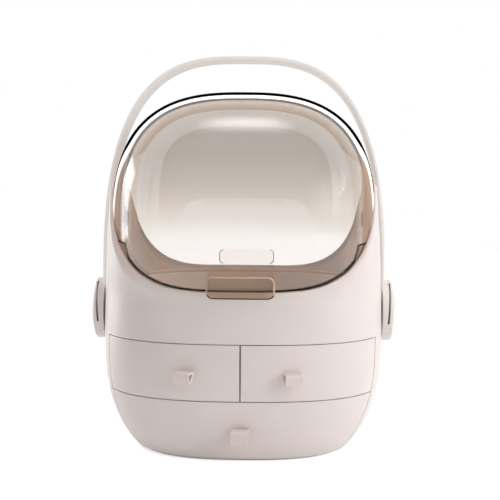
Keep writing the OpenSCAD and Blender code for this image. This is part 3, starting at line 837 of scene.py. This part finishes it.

# %% [markdown]
# ## The grip tabs
# A tab is a clear rounded block standing out of its lid, with a line of painted shade or painted
# light along its front rim. A box gets its corners and its front edge rounded first, is cut into
# strips so that it can bend, and is then bent round the dome.

# %% The grip tabs
def grip_tab(name, width, height, low_z, stand, shrink, facing, body, node, notch, materials,
             painted_shade_rim):
    """A tab in millimetres. Its materials are its body's, the dark rim's, which is painted shade,
    and the pale rim's.
    """
    bm = bmesh.new()
    bmesh.ops.create_cube(bm, size=1.0)
    bmesh.ops.scale(bm, vec=(width, stand, height), verts=bm.verts)
    upright = [e for e in bm.edges if abs(e.verts[0].co.y - e.verts[1].co.y) > stand / 2]
    bmesh.ops.bevel(bm, geom=upright, offset=height * 0.3, offset_type="OFFSET", segments=8,
                    profile=0.5, affect="EDGES", material=-1)
    rim_edges = [e for e in bm.edges if max(v.co.y for v in e.verts) < -stand / 2 + 0.001]
    bmesh.ops.bevel(bm, geom=rim_edges, offset=min(2.2, stand * 0.5), offset_type="OFFSET",
                    segments=5, profile=0.5, affect="EDGES", material=-1)
    # seen from in front, the rounded rim is a line round the tab: painted shade where it is dark,
    # and pale elsewhere
    bm.normal_update()
    for f in bm.faces:
        middle = f.calc_center_median()
        if abs(f.normal.y) < 0.97 and middle.y < 1.3 - stand / 2:
            f.material_index = 1 if painted_shade_rim(middle.x / width, middle.z / height) else 2
    for k in range(1, 12):
        cut_at(bm, (width * (k / 12 - 0.5), 0, 0), (1, 0, 0))
    for k in range(1, 8):
        cut_at(bm, (0, 0, height * (k / 8 - 0.5)), (0, 0, 1))
    for v in bm.verts:
        out = stand / 2 - v.co.y
        z = low_z + height / 2 + v.co.z
        reach = DOME_R - shrink + max(out, 0.25)
        r = reach * (1 - (abs(v.co.x) / (DOME_A - shrink + out)) ** DOME_N) ** (1 / DOME_N)
        if notch and z < RIM + 1:
            r = max(r, notch)
        v.co = Vector((v.co.x, -facing * sqrt(r**2 - (PIVOT - z) ** 2), z))
    bmesh.ops.recalc_face_normals(bm, faces=bm.faces)
    piece = finish_piece(name, bm, materials[0], 0.0, 2, 60.0)
    for rim_material in materials[1:]:
        piece.data.materials.append(rim_material)
    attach(piece, body)
    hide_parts(node)
    return piece


TAB_W = 61.4
# the front tab's rim is painted shade below and a painted glint above; the rear tab's rim is
# painted shade at its sides
grip_tab("front_tab_skin", TAB_W, 21.5, 152.4, 7.95, 0.0, 1, "front_visor", "front_lid_tab",
         129.0, (tab_plastic, painted_shade_edge, painted_glint_rim), lambda x, z: z < -0.3)
grip_tab("rear_tab_skin", TAB_W, 15.5, 164.0, 2.35, 5.0, -1, "rear_visor", "rear_lid_tab",
         0.0, (thin_tab, painted_shade_edge, thin_tab), lambda x, z: abs(x) > 0.43)

# %% [markdown]
# ## The carrying handle
# The strap is a wide, thin band that rises from the hubs and bends over the dome. A long
# box is cut into many short lengths, and each length is placed on the arch, with its
# thickness growing from the legs to the grip.

# %% The strap
ARCH_Z, ARCH_NX, ARCH_NZ = 150.0, 3.0, 2.7
HANDLE_W, HANDLE_TOP, STRAP_W, LEG_T, GRIP_T = 138.6, 377.4, 36.0, 2.7, 3.8


def arch_point(s, inset_x, inset_z):
    """A point of the arch: s runs from one hub at -1 over the top at 0 to the other at 1."""
    w, h = HANDLE_W - inset_x, HANDLE_TOP - ARCH_Z - inset_z
    straight = 0.075
    side = 1 if s >= 0 else -1
    if abs(s) > 1 - straight:
        return side * w, ARCH_Z - (ARCH_Z - HUB_Z) * (abs(s) - 1 + straight) / straight
    # an even walk: the angle is read from the table of the arch's own length
    angle = float(np.interp(1 - abs(s) / (1 - straight), arch_walk, arch_angles))
    return (side * w * cos(angle) ** (2 / ARCH_NX), ARCH_Z + h * sin(angle) ** (2 / ARCH_NZ))


arch_angles = np.linspace(0, pi / 2, 2001)
arch_x = HANDLE_W * np.cos(arch_angles) ** (2 / ARCH_NX)
arch_z = (HANDLE_TOP - ARCH_Z) * np.sin(arch_angles) ** (2 / ARCH_NZ)
arch_x[-1] = 0.0
arch_walk = np.r_[0, np.cumsum(np.hypot(np.diff(arch_x), np.diff(arch_z)))]
arch_walk /= arch_walk[-1]

strap_bm = bmesh.new()
bmesh.ops.create_cube(strap_bm, size=2.0)
long_edges = [e for e in strap_bm.edges if abs(e.verts[0].co.x - e.verts[1].co.x) > 1]
bmesh.ops.subdivide_edges(strap_bm, edges=long_edges, cuts=219, use_grid_fill=True)
for v in strap_bm.verts:
    outside = v.co.z > 0
    x, z = arch_point(v.co.x, 0 if outside else LEG_T, 0 if outside else GRIP_T)
    v.co = Vector((x, v.co.y * STRAP_W / 2, z))
bmesh.ops.recalc_face_normals(strap_bm, faces=strap_bm.faces)
strap = finish_piece("handle_strap", strap_bm, strap_plastic, 0.8, 3, 40.0)
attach(strap, "carrying_handle")
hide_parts("handle")

for side, end in ((-1, "left"), (1, "right")):
    bm = turned([(4.05, 135.9), (28.2, 135.9), (28.2, 138.6), (4.05, 138.6)], side, HUB_Z)
    plate = finish_piece(f"handle_end_{end}", bm, abs_trim)
    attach(plate, "carrying_handle")

# %% [markdown]
# ## The pulls
# Each pull is a soft strip folded into a loop: out along the top, down to a point, and
# back to the drawer. A flat grid is rolled along that path and given its thickness.

# %% The pulls
PULL_W, PULL_D, PULL_T = 15.4, 12.6, 1.5
PULL_TOP, PULL_TIP = 3.6, 0.68  # the strip's top, and how far out its point is, as a share


def drawer_face_y(x, z):
    return on_egg(middle_angle(x, z, 0.0), z).y


def rounded_path(points, radius, steps):
    """A path through corners, each rounded by an arc of short straight steps."""
    path = [Vector(points[0])]
    for before, corner, after in zip(points, points[1:], points[2:]):
        before, corner, after = Vector(before), Vector(corner), Vector(after)
        reach = min(radius, (before - corner).length * 0.45, (after - corner).length * 0.45)
        start = corner + (before - corner).normalized() * reach
        end = corner + (after - corner).normalized() * reach
        for k in range(steps + 1):
            t = k / steps
            path.append(start * (1 - t) ** 2 + corner * 2 * t * (1 - t) + end * t**2)
    path.append(Vector(points[-1]))
    return path


def loop_pull(name, x, z, drop, turn_degrees, body, node):
    half = PULL_T / 2
    top, tip = PULL_TOP - half, PULL_D * PULL_TIP
    corners = [(0.0, top), (-PULL_D + half, top), (-tip, -drop + half),
               (-2.6, 1.4), (0.0, 1.0 + half)]
    path = rounded_path(corners, 2.0, 7)
    lengths = np.r_[0, np.cumsum([(b - a).length for a, b in zip(path, path[1:])])]
    bm = bmesh.new()
    made = bmesh.ops.create_grid(bm, x_segments=72, y_segments=4, size=0.5)
    for v in made["verts"]:
        walk = (v.co.x + 0.5) * lengths[-1]
        out = float(np.interp(walk, lengths, [p.x for p in path]))
        rise = float(np.interp(walk, lengths, [p.y for p in path]))
        v.co = Vector((v.co.y * PULL_W, out, rise))
    lean = degrees(atan2(drawer_face_y(x + 1, z) - drawer_face_y(x - 1, z), 2))
    lift = PULL_W / 2 * abs(sin(radians(turn_degrees + lean))) + 0.1
    bmesh.ops.rotate(bm, verts=bm.verts, cent=(0, 0, 0),
                     matrix=Matrix.Rotation(radians(-turn_degrees), 3, "Z"))
    bmesh.ops.translate(bm, verts=bm.verts, vec=(x, drawer_face_y(x, z + PULL_TOP) - lift, z))
    piece = finish_piece(name, bm, soft_strip)
    give_wall(piece, "strip", PULL_T, 0.0, False)
    round_edges(piece, "soft edges", 0.35, 2, 60)
    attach(piece, body)
    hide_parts(node)
    return piece


loop_pull("pull_left_strip", -48.19, 83.2, 7.6, 22, "left_drawer", "pull_left")
loop_pull("pull_right_strip", 46.55, 82.3, 7.6, -10, "right_drawer", "pull_right")
loop_pull("pull_lower_strip", 0.7, 29.8, 11.5, 6, "lower_drawer", "pull_lower")

# %% [markdown]
# ## The tray and the drawers' boxes
# They are plain open tubs. An outline is drawn, trimmed where the tub is flat, pulled up,
# and given its wall. The floor's edge is rounded as a moulding's is.

# %% Open tubs
def tub(name, outline, trims, z0, z1, wall_t, bevel):
    """An open box from a closed outline, trimmed by planes of (place, normal)."""
    bm = bmesh.new()
    bmesh.ops.create_circle(bm, segments=len(outline), radius=1.0, cap_ends=True)
    bm.verts.ensure_lookup_table()
    for v, (x, y) in zip(bm.verts, outline):
        v.co = Vector((x, y, z0))
    for place, normal in trims:
        cut_at(bm, place, normal, clear=True)
    lifted = bmesh.ops.extrude_face_region(bm, geom=bm.faces[:])
    top = [g for g in lifted["geom"] if isinstance(g, bmesh.types.BMVert)]
    bmesh.ops.translate(bm, vec=(0, 0, z1 - z0), verts=top)
    lid_faces = [f for f in bm.faces if all(abs(v.co.z - z1) < 0.001 for v in f.verts)]
    bmesh.ops.delete(bm, geom=lid_faces, context="FACES_ONLY")
    bmesh.ops.recalc_face_normals(bm, faces=bm.faces)
    floor = [f for f in bm.faces if all(abs(v.co.z - z0) < 0.001 for v in f.verts)]
    if floor and floor[0].normal.z > 0:
        bmesh.ops.reverse_faces(bm, faces=bm.faces)
    piece = finish_piece(name, bm, abs_shell)
    give_wall(piece, "wall", wall_t, -1.0, True)
    round_edges(piece, "rounded edges", bevel, 3, 40)
    return piece


def plan_outline(a, b, power, count):
    steps = [2 * pi * k / count for k in range(count)]
    return [(a * signed_power(cos(t), 2 / power), b * signed_power(sin(t), 2 / power))
            for t in steps]


TUB_POWER, TUB_POINTS = 2.54, 192
tray = tub("upper_tray_tub", plan_outline(108.0, 90.5, TUB_POWER, TUB_POINTS), (),
           115.0, 157.0, 2.0, 0.7)
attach(tray, "base")
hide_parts("upper_tray")

for name, body, z0, z1, x0, x1, node in (
        ("drawer_box_left_tub", "left_drawer", 60.15, 103.2, -118.8, -2.25, "drawer_box_left"),
        ("drawer_box_right_tub", "right_drawer", 60.15, 103.2, 2.25, 118.8, "drawer_box_right"),
        ("drawer_box_lower_tub", "lower_drawer", 4.3, 51.0, -90.75, 90.75, "drawer_box_lower")):
    a, b = half_width(z0) - FRONT_WALL - 0.3, half_depth(z0) - FRONT_WALL - 0.3
    trims = (((x0, 0, 0), (-1, 0, 0)), ((x1, 0, 0), (1, 0, 0)), ((0, 74.0, 0), (0, 1, 0)))
    box = tub(name, plan_outline(a, b, TUB_POWER, TUB_POINTS), trims, z0, z1, 1.8, 0.5)
    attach(box, body)
    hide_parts(node)

# %% [markdown]
# ## The pieces that keep their CAD shape
# Pins, axles, hub caps, screws, clips and the drawer frame have the right shape already.
# They only take their finish.

# %% Finishes for the CAD nodes
def dress(names, material):
    for name in names:
        mesh = nodes[name].data
        if not mesh.materials:
            mesh.materials.append(material)
        for k in range(len(mesh.materials)):
            mesh.materials[k] = material


dress(("drawer_divider",), abs_shell)
dress(("hub_cap_left", "hub_cap_right"), abs_trim)
dress(("lid_pin_left", "lid_pin_right"), abs_dark)
dress(("shell_screws", "handle_axle_left", "handle_axle_right",
       "pull_clip_left", "pull_clip_right", "pull_clip_lower"), steel)

# %% [markdown]
# ## The studio
# The photo is a pale product shot on a white sweep. The floor is white to the camera and
# still takes the object's shadow. Through the visors it is a little darker, as a stand-in.

# %% The floor
def white_floor():
    material, tree, out = new_finish("painted white sweep")
    matt_white = add(tree, "ShaderNodeBsdfDiffuse", {"Color": (0.9, 0.9, 0.9, 1.0)})
    shader = matt_white.outputs["BSDF"]
    for strength, kinds in ((0.6, ("Is Camera Ray", "Is Glossy Ray")),
                            (0.52, ("Is Transmission Ray",))):
        glow = add(tree, "ShaderNodeEmission", {"Color": (1, 1, 1, 1), "Strength": strength})
        both = add(tree, "ShaderNodeAddShader")
        tree.links.new(both.inputs[0], matt_white.outputs["BSDF"])
        tree.links.new(both.inputs[1], glow.outputs["Emission"])
        shader = mixed(tree, any_ray(tree, *kinds), shader, both.outputs["Shader"])
    tree.links.new(out.inputs["Surface"], shader)
    return material


floor_bm = bmesh.new()
bmesh.ops.create_circle(floor_bm, segments=96, radius=2600.0, cap_ends=True)
floor = finish_piece("floor", floor_bm, white_floor())

# %% [markdown]
# The world is the room. It lights the object softly, and a little more weakly from the
# left. The camera sees pure white behind the object, and so does every gloss. Through the
# visors a sweep of its own shows, which only transmission rays see: white low down and warm
# grey higher up, the same all round. It stands in for the photo's background in the dome.

# %% The world
world = bpy.data.worlds.new("studio")
world.use_nodes = True
bpy.context.scene.world = world
sky_tree = world.node_tree
sky_tree.nodes.clear()
sky_out = sky_tree.nodes.new("ShaderNodeOutputWorld")
compass = add(sky_tree, "ShaderNodeTexCoord")
parts = add(sky_tree, "ShaderNodeSeparateXYZ", Vector=compass.outputs["Generated"])
sideways = add(sky_tree, "ShaderNodeMapRange", {
    "From Min": -0.9, "From Max": 0.9, "To Min": 0.4, "To Max": 0.62}, Value=parts.outputs["X"])
room = add(sky_tree, "ShaderNodeBackground", {"Color": (1.0, 0.95, 0.945, 1.0)},
           Strength=sideways.outputs["Result"])
SWEEP = ((-0.066, "#FFFDF9"), (-0.045, "#F0E9E2"), (-0.024, "#DBD3CB"), (-0.004, "#C9C2BA"),
         (0.03, "#B7B1AA"), (0.1, "#B5AEA7"))
height = add(sky_tree, "ShaderNodeMapRange", {"From Min": -1.0, "From Max": 1.0},
             Value=parts.outputs["Z"])
fall_off = add(sky_tree, "ShaderNodeValToRGB", Fac=height.outputs["Result"])
colour_stops(fall_off.color_ramp, [((level + 1) / 2, colour) for level, colour in SWEEP])
sweep = add(sky_tree, "ShaderNodeBackground", {"Strength": 1.0}, Color=fall_off.outputs["Color"])
backdrop = add(sky_tree, "ShaderNodeBackground", {"Color": (1, 1, 1, 1), "Strength": 1.0})
seen = mixed(sky_tree, any_ray(sky_tree, "Is Camera Ray", "Is Glossy Ray"),
             room.outputs["Background"], backdrop.outputs["Background"])
seen = mixed(sky_tree, any_ray(sky_tree, "Is Transmission Ray"), seen, sweep.outputs["Background"])
sky_tree.links.new(sky_out.inputs["Surface"], seen)


# %% [markdown]
# Three lamps light the object and don't show in its gloss: the large one on the right, a
# weaker one behind on the left, and one above. Three others only show in the gloss: the
# window on the right, the streak down the left side, and the glow at the top of the dome.

# %% Lamps
def soft_lamp(name, place, aim, width, height, power, gloss=True, edge=0.0, lights=True):
    """A softbox in millimetres and watts. An edge fades it out over that part of its half
    width, gloss shows it in reflections, and lights lets it light matt faces."""
    data = bpy.data.lights.new(name, "AREA")
    data.shape, data.size, data.size_y, data.energy = "RECTANGLE", width * MM, height * MM, power
    if edge:
        data.use_nodes = True
        tree = data.node_tree
        tree.nodes.clear()
        out = tree.nodes.new("ShaderNodeOutputLight")
        where = add(tree, "ShaderNodeNewGeometry")
        parts = add(tree, "ShaderNodeSeparateXYZ", Vector=where.outputs["Parametric"])
        fades = [step_up(tree, maths(tree, "ABSOLUTE", maths(
            tree, "SUBTRACT", parts.outputs[axis], 0.5), 0.0), 0.5, 0.5 - edge / 2)
            for axis in ("X", "Y")]
        soft = maths(tree, "MULTIPLY", *fades)
        shine = add(tree, "ShaderNodeEmission", Strength=soft)
        tree.links.new(out.inputs["Surface"], shine.outputs["Emission"])
    lamp = bpy.data.objects.new(name, data)
    bpy.context.scene.collection.objects.link(lamp)
    lamp.location = Vector(place) * MM
    lamp.rotation_mode = "QUATERNION"
    lamp.rotation_quaternion = (Vector(aim) - Vector(place)).to_track_quat("-Z", "Y")
    lamp.visible_glossy = gloss
    lamp.visible_transmission = False
    lamp.visible_diffuse = lights


soft_lamp("key_right", (1000, -500, 700), (0, 0, 180), 700, 900, 7.9, gloss=False)
soft_lamp("window_right", (864, -430, 518), (70, -110, 240), 1200, 700, 5.0,
          edge=0.8, lights=False)
soft_lamp("edge_left", (-850, 480, 300), (0, 0, 190), 250, 900, 4.6, gloss=False)
soft_lamp("streak_left", (-960, 330, 345), (-100, -90, 230), 430, 700, 5.5,
          edge=0.2, lights=False)
soft_lamp("top", (0, -60, 1100), (0, 0, 250), 900, 500, 3.7, gloss=False)
soft_lamp("top_glow", (0, -20, 1100), (0, -80, 310), 640, 400, 5.5,
          edge=0.98, lights=False)
